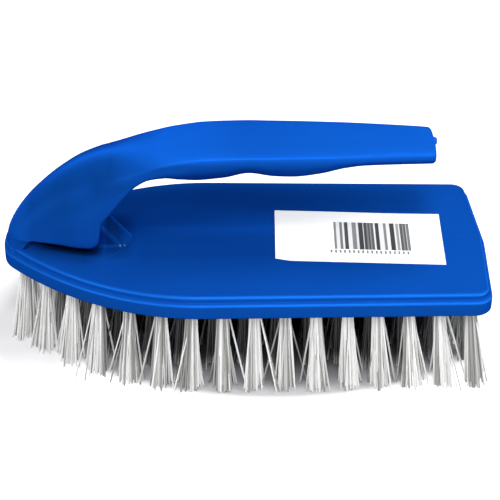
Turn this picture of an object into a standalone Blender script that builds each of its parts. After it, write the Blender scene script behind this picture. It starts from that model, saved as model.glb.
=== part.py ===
"""Hand scrubbing brush with an iron-style handle.

One polypropylene moulding makes the boat-shaped block and the handle, which springs from the
nose, arches back over the block and ends free.  Round tufts of stiff filament are set in blind
holes in the flat underside, the inner ones two to a slice, and a paper label lies on the raised
panel of the block.

Metres, +Z up.  The nose points to -X and the heel to +X, and the origin is on the floor, under
the middle of the block.  The brush stands on the cut tips of its tufts, at z = 0.
"""
import itertools
import math

import bmesh
import bpy
import numpy as np
from mathutils import Matrix, Vector

MM = 0.001
DEGREE = math.pi / 180.0

# Block, seen from above
BLOCK_LENGTH = 162.4 * MM
BLOCK_WIDTH = 76.0 * MM
HEEL_NARROWING = 3.2 * MM
WIDEST_FROM_NOSE = 68.0 * MM
NOSE_RADIUS = 11.4 * MM
NOSE_FLARE = 45.0 * DEGREE
BOW_REACH = 33.5 * MM
SHOULDER_REACH = 17.5 * MM
HEEL_CORNER_RADIUS = 6.0 * MM
MOULD_DRAFT = 3.05 * DEGREE

# Block, from the floor up
BRISTLE_LENGTH = 29.2 * MM
BLOCK_THICKNESS = 7.8 * MM
PANEL_STEP_HEIGHT = 2.3 * MM
PANEL_STEP_WIDTH = 1.3 * MM
RIM_EDGE_RADIUS = 1.1 * MM
PANEL_EDGE_RADIUS = 0.8 * MM
UNDER_EDGE_RADIUS = 0.7 * MM

# Handle, measured from the nose and from the panel
HANDLE_LENGTH = 142.6 * MM
GRIP_TOP_ABOVE_PANEL = 38.0 * MM
GRIP_WIDTH = 27.1 * MM
GRIP_DEPTH = 13.3 * MM
FOOT_LENGTH = 34.0 * MM
FOOT_WIDTH = 29.0 * MM
FOOT_SLOT_HEIGHT = 3.8 * MM
FOOT_CORNER_RADIUS = 2.6 * MM
GATE_NUB_RADIUS = 1.2 * MM
GATE_NUB_HEIGHT = 0.6 * MM
GATE_NUB_BELOW_TOP = 2.6 * MM

# Web that carries the foot of the handle on the panel
WEB_WIDTH = 13.4 * MM
WEB_FROM_NOSE = 4.7 * MM
WEB_LENGTH = 39.2 * MM
WEB_PROW_LENGTH = 3.8 * MM
WEB_HEIGHT = 12.0 * MM
WEB_FRONT_SLOPE = 60.0 * DEGREE
WEB_REAR_SLOPE = 50.0 * DEGREE

# Tufts and their holes
TUFT_EDGE_DISTANCE = 4.7 * MM
TUFTS_PER_SIDE = 16
TUFTS_BEFORE_BOW = 10
BOW_PITCH_SHARE = 1.095
INNER_COLUMNS = 14
INNER_PAIR_SHARES = ((-0.61, -0.21), (0.21, 0.61))
BOW_COLUMNS = 2
BOW_PAIR_SHARES = ((-0.32, 0.32),)
TUFT_FROM_HEEL = 8.6 * MM
OUTER_TUFT_FROM_NOSE = 6.6 * MM
INNER_TUFT_FROM_NOSE = 19.9 * MM
TUFT_HOLE_RADIUS = 2.1 * MM
TUFT_HOLE_DEPTH = 5.2 * MM
TUFT_CLEARANCE = 0.3 * MM
TUFT_ROOT_RADIUS = 1.1 * MM
TUFT_TIP_RADIUS = 2.9 * MM
TUFT_LEAN_ALONG = 3.7 * MM
TUFT_LEAN_ACROSS = 2.5 * MM
STRAND_ROOT_RADIUS = 0.42 * MM
STRAND_TIP_RADIUS = 0.62 * MM
STRANDS_ROUND_TUFT = 6
STRANDS_ROUND_PAIRED_TUFT = 4
STRAND_SIDES = 3
TIP_TRIM = 0.5 * MM

# Paper label on the panel
LABEL_LENGTH = 56.5 * MM
LABEL_WIDTH = 32.0 * MM
LABEL_THICKNESS = 0.2 * MM
LABEL_GAP = 0.3 * MM
LABEL_FROM_HEEL = 42.6 * MM
LABEL_FROM_MIDDLE = 0.4 * MM
LABEL_TURN = -2.6 * DEGREE

OVERRUN = 1.0 * MM

# A face with more corners, or that lies nearer to level, is flat and shaded so
SMOOTH_FACE_CORNERS = 4
LEVEL_FACE_SHARE = 0.9999

HEEL_WIDTH = BLOCK_WIDTH - HEEL_NARROWING
NOSE_X = -BLOCK_LENGTH / 2
HEEL_X = BLOCK_LENGTH / 2
UNDER_Z = BRISTLE_LENGTH
PANEL_Z = BRISTLE_LENGTH + BLOCK_THICKNESS
RIM_Z = PANEL_Z - PANEL_STEP_HEIGHT

# Foot of the handle, a row for each station: its place as a share of FOOT_LENGTH, the crown as a
# share of GRIP_TOP_ABOVE_PANEL, the width as a share of FOOT_WIDTH, and the depth of the widest
# level under the crown as a share of the section's height
FOOT_STATION_SHARES = (
    (0.044, 0.055, 0.140, 0.60),
    (0.060, 0.110, 0.245, 0.66),
    (0.090, 0.170, 0.370, 0.70),
    (0.135, 0.240, 0.490, 0.74),
    (0.194, 0.317, 0.580, 0.78),
    (0.353, 0.480, 0.690, 0.79),
    (0.588, 0.662, 0.815, 0.74),
    (0.794, 0.775, 0.970, 0.66),
    (0.955, 0.834, 1.040, 0.58),
    (0.992, 0.846, 1.050, 0.55),
)
SLOT_FRONT_SHARE = 0.170

# Bar of the handle: its place as a share of the length behind the foot, the crown as above, the
# width as a share of GRIP_WIDTH, the depth of the section as a share of GRIP_DEPTH, and the depth
# of the widest level as above
BAR_STATION_SHARES = (
    (0.004, 0.850, 1.110, 1.510, 0.72),
    (0.038, 0.869, 1.075, 1.220, 0.68),
    (0.075, 0.886, 1.045, 0.895, 0.62),
    (0.112, 0.896, 1.025, 0.600, 0.52),
    (0.150, 0.910, 1.010, 0.480, 0.40),
    (0.198, 0.940, 0.995, 0.565, 0.27),
    (0.240, 0.962, 0.992, 0.750, 0.21),
    (0.300, 0.984, 1.000, 0.940, 0.18),
    (0.370, 0.995, 1.003, 0.897, 0.20),
    (0.445, 1.000, 1.000, 0.750, 0.24),
    (0.520, 0.998, 0.985, 0.865, 0.21),
    (0.575, 0.997, 0.970, 0.890, 0.20),
    (0.655, 0.995, 0.945, 0.790, 0.23),
    (0.730, 0.993, 0.910, 0.590, 0.30),
    (0.790, 0.991, 0.870, 0.510, 0.34),
    (0.900, 0.985, 0.790, 0.495, 0.34),
    (0.985, 0.977, 0.725, 0.480, 0.34),
    (1.000, 0.972, 0.690, 0.445, 0.36),
)
STATIONS_PER_GAP = 2
SECTION_POINTS = 20

# How square the sections are: the power of the superellipse over and under the widest level
FOOT_CROWN_POWER = 2.4
BAR_CROWN_POWER = 4.2
FOOT_UNDER_POWER = 16.0
BAR_UNDER_POWER = 2.3


def make_collection(name):
    collection = bpy.data.collections.new(name)
    bpy.context.scene.collection.children.link(collection)
    return collection


def make_material(name, colour, roughness, metallic=0.0):
    material = bpy.data.materials.new(name)
    material.use_nodes = True
    shader = material.node_tree.nodes["Principled BSDF"]
    shader.inputs["Base Color"].default_value = (*colour, 1.0)
    shader.inputs["Roughness"].default_value = roughness
    shader.inputs["Metallic"].default_value = metallic
    return material


def make_object(name, mesh_builder, collection, material=None):
    """Turn a bmesh into an object with its faces pointing out, the curved ones shaded smooth."""
    bmesh.ops.recalc_face_normals(mesh_builder, faces=mesh_builder.faces)
    for face in mesh_builder.faces:
        face.smooth = len(face.verts) <= SMOOTH_FACE_CORNERS and abs(face.normal.z) < LEVEL_FACE_SHARE
    mesh = bpy.data.meshes.new(name)
    mesh_builder.to_mesh(mesh)
    mesh_builder.free()
    item = bpy.data.objects.new(name, mesh)
    collection.objects.link(item)
    if material is not None:
        mesh.materials.append(material)
    return item


def boolean(target, operation, cutter):
    """Join or cut the target with a cutter, which is then only a guide."""
    modifier = target.modifiers.new(operation.title(), "BOOLEAN")
    modifier.operation = operation
    modifier.solver = "EXACT"
    modifier.object = cutter
    cutter.hide_render = True
    cutter.display_type = "WIRE"


def arc(centre, radius, start, end, steps):
    angles = np.linspace(start, end, steps + 1)
    return np.stack([centre[0] + radius * np.cos(angles), centre[1] + radius * np.sin(angles)], 1)


def cubic(first, second, third, fourth, steps):
    """Bezier curve without its end points."""
    t = np.linspace(0, 1, steps + 1)[1:-1, None]
    return ((1 - t) ** 3 * first + 3 * (1 - t) ** 2 * t * second
            + 3 * (1 - t) * t ** 2 * third + t ** 3 * fourth)


def half_outline(inset, nose_steps=7, bow_steps=16, corner_steps=5):
    """Left half of the block's outline, from the nose to the peak of the heel, drawn in by inset.

    A round nose runs into a bow curve, the side then tapers straight to a round heel corner, and
    the heel slopes out to its middle by the draft of the mould's halves.
    """
    nose_turn = math.pi / 2 - NOSE_FLARE
    nose_centre = np.array([NOSE_X + NOSE_RADIUS, 0.0])
    nose = arc(nose_centre, NOSE_RADIUS - inset, math.pi, math.pi - nose_turn, nose_steps)
    outward = np.array([-math.cos(nose_turn), math.sin(nose_turn)])
    along = np.array([math.cos(NOSE_FLARE), math.sin(NOSE_FLARE)])

    taper = math.atan2((BLOCK_WIDTH - HEEL_WIDTH) / 2, BLOCK_LENGTH - WIDEST_FROM_NOSE)
    side_direction = np.array([math.cos(taper), -math.sin(taper)])
    side_outward = np.array([math.sin(taper), math.cos(taper)])
    widest = np.array([NOSE_X + WIDEST_FROM_NOSE, BLOCK_WIDTH / 2])
    bow_start = nose_centre + NOSE_RADIUS * outward
    bow = cubic(bow_start, bow_start + BOW_REACH * along,
                widest - SHOULDER_REACH * side_direction, widest, bow_steps)
    tangents = np.gradient(np.vstack([bow_start, bow, widest]), axis=0)[1:-1]
    normals = np.stack([-tangents[:, 1], tangents[:, 0]], 1)
    normals /= np.linalg.norm(normals, axis=1)[:, None]
    bow = bow - inset * normals

    heel_outward = np.array([math.cos(MOULD_DRAFT), math.sin(MOULD_DRAFT)])
    heel_peak = np.array([HEEL_X, 0.0])
    lines = np.array([side_outward, heel_outward])
    reach = np.array([side_outward @ widest, heel_outward @ heel_peak]) - HEEL_CORNER_RADIUS
    corner_centre = np.linalg.solve(lines, reach)
    corner = arc(corner_centre, HEEL_CORNER_RADIUS - inset, math.pi / 2 - taper, MOULD_DRAFT, corner_steps)

    peak = [[HEEL_X - inset / math.cos(MOULD_DRAFT), 0.0]]
    shoulder = [widest - inset * side_outward]
    return np.vstack([nose, bow, shoulder, corner, peak])


def full_outline(inset):
    left = half_outline(inset)
    right = left[-2:0:-1] * (1, -1)
    return np.vstack([left, right])


def slab(name, inset, bottom, top, top_radius, bottom_radius, collection, material=None):
    """Extrude the block's outline and round its upper and lower edges."""
    builder = bmesh.new()
    corners = [builder.verts.new((x, y, bottom)) for x, y in full_outline(inset)]
    base = builder.faces.new(corners)
    extruded = bmesh.ops.extrude_face_region(builder, geom=[base])
    raised = [item for item in extruded["geom"] if isinstance(item, bmesh.types.BMVert)]
    bmesh.ops.translate(builder, verts=raised, vec=(0, 0, top - bottom))
    bmesh.ops.recalc_face_normals(builder, faces=builder.faces)
    for level, radius, segments in ((top, top_radius, 3), (bottom, bottom_radius, 2)):
        if radius == 0:
            continue
        edges = [edge for edge in builder.edges
                 if all(abs(vert.co.z - level) < radius / 2 for vert in edge.verts)]
        bmesh.ops.bevel(builder, geom=edges, offset=radius, offset_type="OFFSET", segments=segments,
                        profile=0.5, affect="EDGES", clamp_overlap=True)
    return make_object(name, builder, collection, material)


def smooth_rows(rows, steps):
    """Rows with steps - 1 more between each two, on a cubic that never overshoots its rows."""
    rows = np.array(rows)
    x = rows[:, 0]
    gaps = np.diff(x)[:, None]
    slopes = np.diff(rows, axis=0) / gaps
    before, after = slopes[:-1], slopes[1:]
    same_way = before * after > 0
    mean = np.where(same_way, 2 * before * after / np.where(same_way, before + after, 1), 0)
    slopes_at = np.vstack([slopes[:1], mean, slopes[-1:]])
    result = []
    for index in range(len(rows) - 1):
        for t in np.arange(steps) / steps:
            result.append((2 * t ** 3 - 3 * t ** 2 + 1) * rows[index]
                          + (t ** 3 - 2 * t ** 2 + t) * gaps[index] * slopes_at[index]
                          + (3 * t ** 2 - 2 * t ** 3) * rows[index + 1]
                          + (t ** 3 - t ** 2) * gaps[index] * slopes_at[index + 1])
    result.append(rows[-1])
    return np.array(result)


def handle_stations():
    """Sections of the handle: x, crown, half width, underside, widest level and two powers."""
    stations = []
    slot_front = SLOT_FRONT_SHARE * FOOT_LENGTH
    corner_start = FOOT_STATION_SHARES[-1][0] * FOOT_LENGTH - FOOT_CORNER_RADIUS
    for place, crown, width, widest in smooth_rows(FOOT_STATION_SHARES, STATIONS_PER_GAP):
        x = place * FOOT_LENGTH
        top = crown * GRIP_TOP_ABOVE_PANEL
        into_corner = min(max(0.0, x - corner_start), FOOT_CORNER_RADIUS)
        lift = FOOT_CORNER_RADIUS - math.sqrt(FOOT_CORNER_RADIUS ** 2 - into_corner ** 2)
        under = FOOT_SLOT_HEIGHT + lift if x > slot_front else -OVERRUN
        level = top - widest * (top - FOOT_SLOT_HEIGHT) if x > slot_front else top * (1 - widest)
        stations.append((x, top, width * FOOT_WIDTH / 2, under, level, FOOT_CROWN_POWER, FOOT_UNDER_POWER))
    bar_length = HANDLE_LENGTH - FOOT_LENGTH
    for place, crown, width, depth, widest in smooth_rows(BAR_STATION_SHARES, STATIONS_PER_GAP):
        top = crown * GRIP_TOP_ABOVE_PANEL
        under = top - depth * GRIP_DEPTH
        blend = min(1.0, place / BAR_STATION_SHARES[7][0]) ** 2
        crown_power = FOOT_CROWN_POWER + blend * (BAR_CROWN_POWER - FOOT_CROWN_POWER)
        under_power = BAR_UNDER_POWER + (1 - blend) ** 2 * (FOOT_UNDER_POWER - BAR_UNDER_POWER) / 2
        stations.append((FOOT_LENGTH + place * bar_length, top, width * GRIP_WIDTH / 2, under,
                         top - widest * (top - under), crown_power, under_power))
    return stations


def section(half_width, top, under, widest_level, crown_power, under_power):
    """Closed section in the YZ plane, two half superellipses that meet at the widest level."""
    angles = np.arange(SECTION_POINTS) * 2 * math.pi / SECTION_POINTS
    cosine, sine = np.cos(angles), np.sin(angles)
    power = np.where(sine >= 0, crown_power, under_power)
    y = half_width * np.sign(cosine) * np.abs(cosine) ** (2 / power)
    rise = np.abs(sine) ** (2 / power)
    z = np.where(sine >= 0, widest_level + (top - widest_level) * rise,
                 widest_level - (widest_level - under) * rise)
    return y, z


def build_handle(collection):
    """Loft the handle from the nose to its free end, with the nub that the gate leaves there."""
    builder = bmesh.new()
    rings = []
    handle_end = NOSE_X + HANDLE_LENGTH
    for x, top, half_width, under, level, crown_power, under_power in handle_stations():
        y, z = section(half_width, top, under, level, crown_power, under_power)
        ends_here = abs(x - HANDLE_LENGTH) < OVERRUN
        draft = math.tan(MOULD_DRAFT) if ends_here else 0.0
        rings.append([builder.verts.new((NOSE_X + x - draft * abs(side), side, PANEL_Z + height))
                      for side, height in zip(y, z)])
    for ring, following in zip(rings, rings[1:]):
        for index in range(SECTION_POINTS):
            after = (index + 1) % SECTION_POINTS
            builder.faces.new((ring[index], ring[after], following[after], following[index]))
    builder.faces.new(rings[0])
    builder.faces.new(rings[-1])
    handle = make_object("handle_solid", builder, collection)

    nub = bmesh.new()
    bmesh.ops.create_cone(nub, cap_ends=True, segments=10, radius1=GATE_NUB_RADIUS,
                          radius2=GATE_NUB_RADIUS, depth=GATE_NUB_HEIGHT + OVERRUN)
    place = Matrix.Translation((handle_end + (GATE_NUB_HEIGHT - OVERRUN) / 2, 0,
                                PANEL_Z + GRIP_TOP_ABOVE_PANEL - GATE_NUB_BELOW_TOP - GATE_NUB_RADIUS))
    bmesh.ops.transform(nub, matrix=place @ Matrix.Rotation(math.pi / 2, 4, "Y"), verts=nub.verts)
    return handle, make_object("gate_nub", nub, collection)


def build_web(collection):
    """Upright web under the foot, with a prow at its rear; both its ends lean in as they rise."""
    front = NOSE_X + WEB_FROM_NOSE
    rear = front + WEB_LENGTH
    half = WEB_WIDTH / 2
    plan = [(front, half), (front, -half), (rear - WEB_PROW_LENGTH, -half), (rear, 0),
            (rear - WEB_PROW_LENGTH, half)]
    builder = bmesh.new()
    rings = []
    for rise in (-OVERRUN, WEB_HEIGHT):
        leans = [rise / math.tan(WEB_FRONT_SLOPE) if x == front else -rise / math.tan(WEB_REAR_SLOPE)
                 for x, y in plan]
        rings.append([builder.verts.new((x + lean, y, PANEL_Z + rise)) for (x, y), lean in zip(plan, leans)])
    lower, upper = rings
    builder.faces.new(lower)
    builder.faces.new(upper)
    for index in range(len(plan)):
        after = (index + 1) % len(plan)
        builder.faces.new((lower[index], lower[after], upper[after], upper[index]))
    return make_object("web_solid", builder, collection)


def tuft_places():
    """Centres of the tufts in each node: one along each side of the outline, two between them."""
    line = half_outline(TUFT_EDGE_DISTANCE, nose_steps=24, bow_steps=80, corner_steps=24)[::-1]
    steps = np.linalg.norm(np.diff(line, axis=0), axis=1)
    travelled = np.concatenate([[0.0], np.cumsum(steps)])
    count = np.arange(TUFTS_PER_SIDE)
    pitches = count + np.maximum(0, count - TUFTS_BEFORE_BOW) * (BOW_PITCH_SHARE - 1)
    first = np.interp(TUFT_FROM_HEEL - HEEL_X, -line[:, 0], travelled)
    last = travelled[-1] - OUTER_TUFT_FROM_NOSE
    wanted = first + (last - first) * pitches / pitches[-1]
    outer_x = np.interp(wanted, travelled, line[:, 0])
    outer_y = np.interp(wanted, travelled, line[:, 1])
    places = []
    for x, y in zip(outer_x, outer_y):
        places.extend([[(x, y)], [(x, -y)]])
    inner_x = np.linspace(outer_x[0], NOSE_X + INNER_TUFT_FROM_NOSE, INNER_COLUMNS)
    for column, x in enumerate(inner_x):
        side = np.interp(-x, -outer_x, outer_y)
        pairs = INNER_PAIR_SHARES if column < INNER_COLUMNS - BOW_COLUMNS else BOW_PAIR_SHARES
        places.extend([(x, lane * side) for lane in pair] for pair in pairs)
    return places


def strand_spread(place):
    """Lean of a tuft at the floor: outward, and more the farther it stands from the middle."""
    x, y = place
    return Vector((TUFT_LEAN_ALONG * x / HEEL_X, TUFT_LEAN_ACROSS * y / (BLOCK_WIDTH / 2), 0.0))


def add_seat(builder, places, radius, bottom, top):
    """Round plug for one tuft, or a slice across the block for two."""
    first, last = places[0], places[-1]
    middle = Matrix.Translation((first[0], (first[1] + last[1]) / 2, (bottom + top) / 2))
    if first == last:
        bmesh.ops.create_cone(builder, cap_ends=True, segments=8, radius1=radius, radius2=radius,
                              depth=top - bottom, matrix=middle)
    else:
        size = (2 * radius, abs(last[1] - first[1]) + 2 * radius, top - bottom)
        bmesh.ops.create_cube(builder, size=1.0, matrix=middle @ Matrix.Diagonal((*size, 1)))


def build_tuft(places):
    """Root seated in its hole, and strands that fan out from it and are cut level with the floor."""
    root_height = TUFT_HOLE_DEPTH - TUFT_CLEARANCE
    root = bmesh.new()
    add_seat(root, places, TUFT_HOLE_RADIUS - TUFT_CLEARANCE, UNDER_Z, UNDER_Z + root_height)

    strands = bmesh.new()
    grip = min(OVERRUN, root_height / 2)
    around = STRANDS_ROUND_TUFT if len(places) == 1 else STRANDS_ROUND_PAIRED_TUFT
    angles = [2 * math.pi * index / around for index in range(around)]
    ring = [(0.0, 0.0)] + [(math.cos(angle), math.sin(angle)) for angle in angles]
    for (x, y), (across, along) in itertools.product(places, ring):
        start = Vector((x, y, UNDER_Z + grip)) + TUFT_ROOT_RADIUS * Vector((across, along, 0))
        spread = TUFT_TIP_RADIUS - TUFT_ROOT_RADIUS
        reach = strand_spread((x, y)) + spread * Vector((across, along, 0)) - Vector((0, 0, UNDER_Z + grip))
        reach *= 1 + TIP_TRIM / (UNDER_Z + grip)
        turn = reach.to_track_quat("Z", "Y").to_matrix().to_4x4()
        middle = Matrix.Translation(start + reach / 2) @ turn
        bmesh.ops.create_cone(strands, cap_ends=True, segments=STRAND_SIDES, radius1=STRAND_ROOT_RADIUS,
                              radius2=STRAND_TIP_RADIUS, depth=reach.length, matrix=middle)
    cut = bmesh.ops.bisect_plane(strands, geom=strands.verts[:] + strands.edges[:] + strands.faces[:],
                                 plane_co=(0, 0, 0), plane_no=(0, 0, -1), clear_outer=True)
    rims = [item for item in cut["geom_cut"] if isinstance(item, bmesh.types.BMEdge)]
    bmesh.ops.contextual_create(strands, geom=rims)
    return root, strands


def build():
    for item in list(bpy.data.objects):
        bpy.data.objects.remove(item, do_unlink=True)
    brush = make_collection("hand_brush")
    cutters = make_collection("hand_brush_cutters")
    blue = make_material("blue_polypropylene", (0.004, 0.075, 0.48), 0.35)
    bristle = make_material("bristle_filament", (0.72, 0.72, 0.70), 0.5)
    paper = make_material("label_paper", (0.85, 0.85, 0.83), 0.6)

    body = slab("body", 0.0, UNDER_Z, RIM_Z, RIM_EDGE_RADIUS, UNDER_EDGE_RADIUS, brush, blue)
    panel = slab("panel_solid", PANEL_STEP_WIDTH, UNDER_Z + BLOCK_THICKNESS / 2, PANEL_Z,
                 PANEL_EDGE_RADIUS, 0, cutters)
    boolean(body, "UNION", panel)
    boolean(body, "UNION", build_web(cutters))
    for solid in build_handle(cutters):
        boolean(body, "UNION", solid)

    holes = bmesh.new()
    for places in tuft_places():
        add_seat(holes, places, TUFT_HOLE_RADIUS, UNDER_Z - OVERRUN, UNDER_Z + TUFT_HOLE_DEPTH)
    boolean(body, "DIFFERENCE", make_object("tuft_holes", holes, cutters))

    for number, places in enumerate(tuft_places(), start=1):
        root, strands = build_tuft(places)
        tuft = make_object(f"tuft_{number:02d}", root, brush, bristle)
        boolean(tuft, "UNION", make_object(f"tuft_{number:02d}_strands", strands, cutters))

    label = bmesh.new()
    bmesh.ops.create_cube(label, size=1.0)
    bmesh.ops.scale(label, vec=(LABEL_LENGTH, LABEL_WIDTH, LABEL_THICKNESS), verts=label.verts)
    sheet = make_object("paper_label", label, brush, paper)
    sheet.location = (HEEL_X - LABEL_FROM_HEEL, -LABEL_FROM_MIDDLE, PANEL_Z + LABEL_GAP + LABEL_THICKNESS / 2)
    sheet.rotation_euler = (0, 0, LABEL_TURN)


build()
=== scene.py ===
import math

import bmesh
import bpy
import numpy as np
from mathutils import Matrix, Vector


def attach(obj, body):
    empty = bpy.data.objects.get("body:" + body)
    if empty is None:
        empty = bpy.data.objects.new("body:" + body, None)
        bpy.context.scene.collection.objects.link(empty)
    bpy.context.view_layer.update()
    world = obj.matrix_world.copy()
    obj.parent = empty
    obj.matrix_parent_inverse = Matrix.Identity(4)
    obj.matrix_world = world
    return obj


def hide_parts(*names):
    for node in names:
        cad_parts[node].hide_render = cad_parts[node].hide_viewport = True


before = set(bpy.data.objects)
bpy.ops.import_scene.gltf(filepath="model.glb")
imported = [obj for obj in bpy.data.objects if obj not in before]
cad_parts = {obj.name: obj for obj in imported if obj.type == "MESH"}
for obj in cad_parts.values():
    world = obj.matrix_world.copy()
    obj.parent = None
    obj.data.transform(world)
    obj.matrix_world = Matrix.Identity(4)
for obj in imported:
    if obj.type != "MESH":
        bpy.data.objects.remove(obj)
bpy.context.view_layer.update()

# ---------------------------------------------------------------------------------------------
# Block
# A boat-shaped slab of polypropylene, moulded in one shot with the handle.  A low panel with
# rounded edges stands on its top, one step in from the rim, and its flat underside is drilled
# for the tufts.
# ---------------------------------------------------------------------------------------------
# The brush's sizes are in millimetres, and so are the coordinates that its finishes read
MM = 0.001
DEGREE = math.pi / 180

BLOCK_LENGTH = 162.4
BLOCK_WIDTH = 76.0
HEEL_WIDTH = BLOCK_WIDTH - 3.2
WIDEST_FROM_NOSE = 68.0
NOSE_RADIUS = 11.4
NOSE_FLARE = 45 * DEGREE
BOW_REACH = 33.5
SHOULDER_REACH = 17.5
HEEL_CORNER_RADIUS = 6.0
MOULD_DRAFT = 3.05 * DEGREE
UNDER_Z = 29.2
UNDER_EDGE_RADIUS = 0.7
RIM_Z = 34.7
RIM_EDGE_RADIUS = 1.05
PANEL_Z = 37.0
PANEL_EDGE_RADIUS = 1.15
PANEL_STEP_WIDTH = 1.3
PANEL_STEP_RADIUS = 0.3
NOSE_X = -BLOCK_LENGTH / 2
HEEL_X = BLOCK_LENGTH / 2

# Points along each stretch of the outline, and on each arc of a profile
NOSE_STEPS, BOW_STEPS, SIDE_STEPS, CORNER_STEPS, HEEL_STEPS = 22, 72, 26, 18, 14
ARC_STEPS = 9

BLUE = (0.0033, 0.073, 0.405)
BLUE_PALE = (0.0043, 0.0875, 0.470)
# Paler blue for the painted edge highlights, the painted highlight on the web's prow and the
# insert's line
BLUE_HIGHLIGHT_AND_LINE = (0.0083, 0.165, 0.79)
# Near-black for the painted shade in the slot under the hood
BLUE_SLOT_SHADE = (0.0004, 0.003, 0.012)
# Pale blue for the painted glints at the foot of the web
BLUE_GLINT = (0.14, 0.32, 0.65)
BLUE_SHEEN = (0.03, 0.30, 1.0)

# Marks on the moulding: how far the painted edge highlights lie below each top, the half width
# of the mould's lines, the middle (from the nose) and radius of its insert, and the painted
# glints (from the nose, y)
HIGHLIGHT_BELOW = 0.6
MOULD_LINE = 0.22
INSERT_MIDDLE, INSERT_RADIUS = 26.2, 16.3
GLINTS = ((39.7, -6.6), (41.1, -6.0), (5.5, -5.9))


class Tone:
    """A value that runs through the nodes of a finish: sums written on it add Math nodes."""

    def __init__(self, tree, socket=None):
        self.tree, self.socket = tree, socket

    def node(self, kind, settings=(), sockets=(), give=0):
        """Any node: its settings are made first, then its sockets' values or links."""
        made = self.tree.nodes.new(kind)
        for name, value in dict(settings).items():
            if name == "stops":
                ramp = made.color_ramp
                ramp.interpolation = "CONSTANT"
                while len(ramp.elements) < len(value):
                    ramp.elements.new(1.0)
                for element, (place, shade) in zip(ramp.elements, value):
                    element.position, element.color = place, (shade, shade, shade, 1)
            else:
                setattr(made, name, value)
        for name, value in dict(sockets).items():
            if isinstance(value, Tone):
                self.tree.links.new(value.socket, made.inputs[name])
            else:
                made.inputs[name].default_value = value
        return Tone(self.tree, made.outputs[give])

    def maths(self, operation, *values):
        return self.node("ShaderNodeMath", {"operation": operation}, enumerate(values))

    def __add__(self, other): return self.maths("ADD", self, other)
    def __radd__(self, other): return self.maths("ADD", other, self)
    def __sub__(self, other): return self.maths("SUBTRACT", self, other)
    def __rsub__(self, other): return self.maths("SUBTRACT", other, self)
    def __mul__(self, other): return self.maths("MULTIPLY", self, other)
    def __rmul__(self, other): return self.maths("MULTIPLY", other, self)
    def __truediv__(self, other): return self.maths("DIVIDE", self, other)
    def __rtruediv__(self, other): return self.maths("DIVIDE", other, self)
    def __pow__(self, other): return self.maths("POWER", self, other)
    def __lt__(self, other): return self.maths("LESS_THAN", self, other)
    def __gt__(self, other): return self.maths("GREATER_THAN", self, other)
    def __abs__(self): return self.maths("ABSOLUTE", self)


def new_finish(name, **constants):
    """A material with its constants on the shader's own sockets, and what its nodes start from."""
    material = bpy.data.materials.new(name)
    material.use_nodes = True
    shader = material.node_tree.nodes["Principled BSDF"]
    for socket, value in constants.items():
        shader.inputs[socket.replace("_", " ")].default_value = value
    return material, Tone(material.node_tree), shader


def feed(shader, name, tone):
    """Link a value or colour to one of a shader's sockets."""
    tone.tree.links.new(tone.socket, shader.inputs[name])


def feed_bump(shader, height, strength, depth):
    """Bump from a height, whose one stands for the given depth in millimetres."""
    feed(shader, "Normal", height.node("ShaderNodeBump", {}, {
        "Height": height, "Strength": strength, "Distance": depth * MM}))


def place_of(tones):
    """The point of the surface in metres, for patterns, and its coordinates in millimetres."""
    point = tones.node("ShaderNodeTexCoord", give="Object")
    parts = [point.node("ShaderNodeSeparateXYZ", (), {0: point}, give) for give in range(3)]
    return point, [part / MM for part in parts]


def noise(point, scale, detail=2.0):
    """Noise from nought to one, with so many cells to the metre."""
    return point.node("ShaderNodeTexNoise", {}, {"Vector": point, "Scale": scale, "Detail": detail})


def drawn_noise(point, scales):
    """Noise with its own number of cells to the metre along each axis."""
    return noise(point.node("ShaderNodeMapping", {}, {"Vector": point, "Scale": scales}), 1.0)


def blend(mask, *colours):
    """The first colour where the mask is nought, the second where it is one."""
    first, second = (colour if isinstance(colour, Tone) else (*colour, 1) for colour in colours)
    return mask.node("ShaderNodeMix", {"data_type": "RGBA"}, {0: mask, 6: first, 7: second}, 2)


def clipped(tone):
    """The value, held between nought and one."""
    return tone.node("ShaderNodeClamp", {}, {0: tone})


def rising(tone, start, end):
    """Nought up to the start, one past the end, and the share of the way between them."""
    return clipped((tone - start) / (end - start))


def falling(tone, start, end):
    """One up to the start, nought past the end, and the share still to go between them."""
    return clipped((end - tone) / (end - start))


def smaller(first, second):
    return first.maths("MINIMUM", first, second)


def larger(first, second):
    return first.maths("MAXIMUM", first, second)


def apart(along, aside):
    """Length of a way: the root of the squares of its two parts."""
    return (along * along + aside * aside) ** 0.5


def painted_edge_highlights(from_nose, z):
    """Painted highlights on two edges: one at the heights of the panel's and the rim's rounding,
    nought half a millimetre away, and less than half as much at the nose."""
    off = smaller(abs(z - (PANEL_Z - HIGHLIGHT_BELOW)), abs(z - (RIM_Z - HIGHLIGHT_BELOW)))
    return falling(off, 0.0, 0.5) * (rising(from_nose, 10.0, 70.0) * 0.55 + 0.45)


def slot_shade_and_highlight(from_nose, y, z):
    """Painted shade in the slot under the hood, and a painted highlight on the web's prow.

    The shade fades with the way out from the hood's lower edge, a line that leaves the middle as
    it leaves the nose, and behind the hood it lies round the prow.  It stays in the slot's
    height, but for the prow and the web's sides, where it goes on up."""
    out = abs(y) - (z - PANEL_Z) * 1.55 - from_nose * 0.3125 + 0.97
    close = falling(out, 1.5, 4.5) * falling(from_nose, 30.5, 40.5) * 0.5
    wide = falling(out, 3.0, 13.0) * falling(from_nose, 28.5, 34.5) * 0.5
    rear = rising(from_nose, 33.5, 35.5) * falling(from_nose, 39.0, 45.0)
    rear = rear * falling(abs(y), 6.0, 16.0) * 0.62
    tail = larger(from_nose > 35.2, (from_nose > 31.0) * (abs(y) < 6.9))
    inside = (z > PANEL_Z - 0.3) * (z < PANEL_Z + 3.7 + tail * 7.5)
    prow_highlight = falling(abs(y), 0.27, 1.17) * (from_nose > 35.5) * (z > PANEL_Z + 0.4) * inside
    slot_shade = larger(rear, (close + wide) * rising(from_nose, 4.0, 14.0)) * inside
    return slot_shade * (1.0 - prow_highlight * 0.8), prow_highlight * falling(from_nose, 43.5, 45.5)


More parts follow.
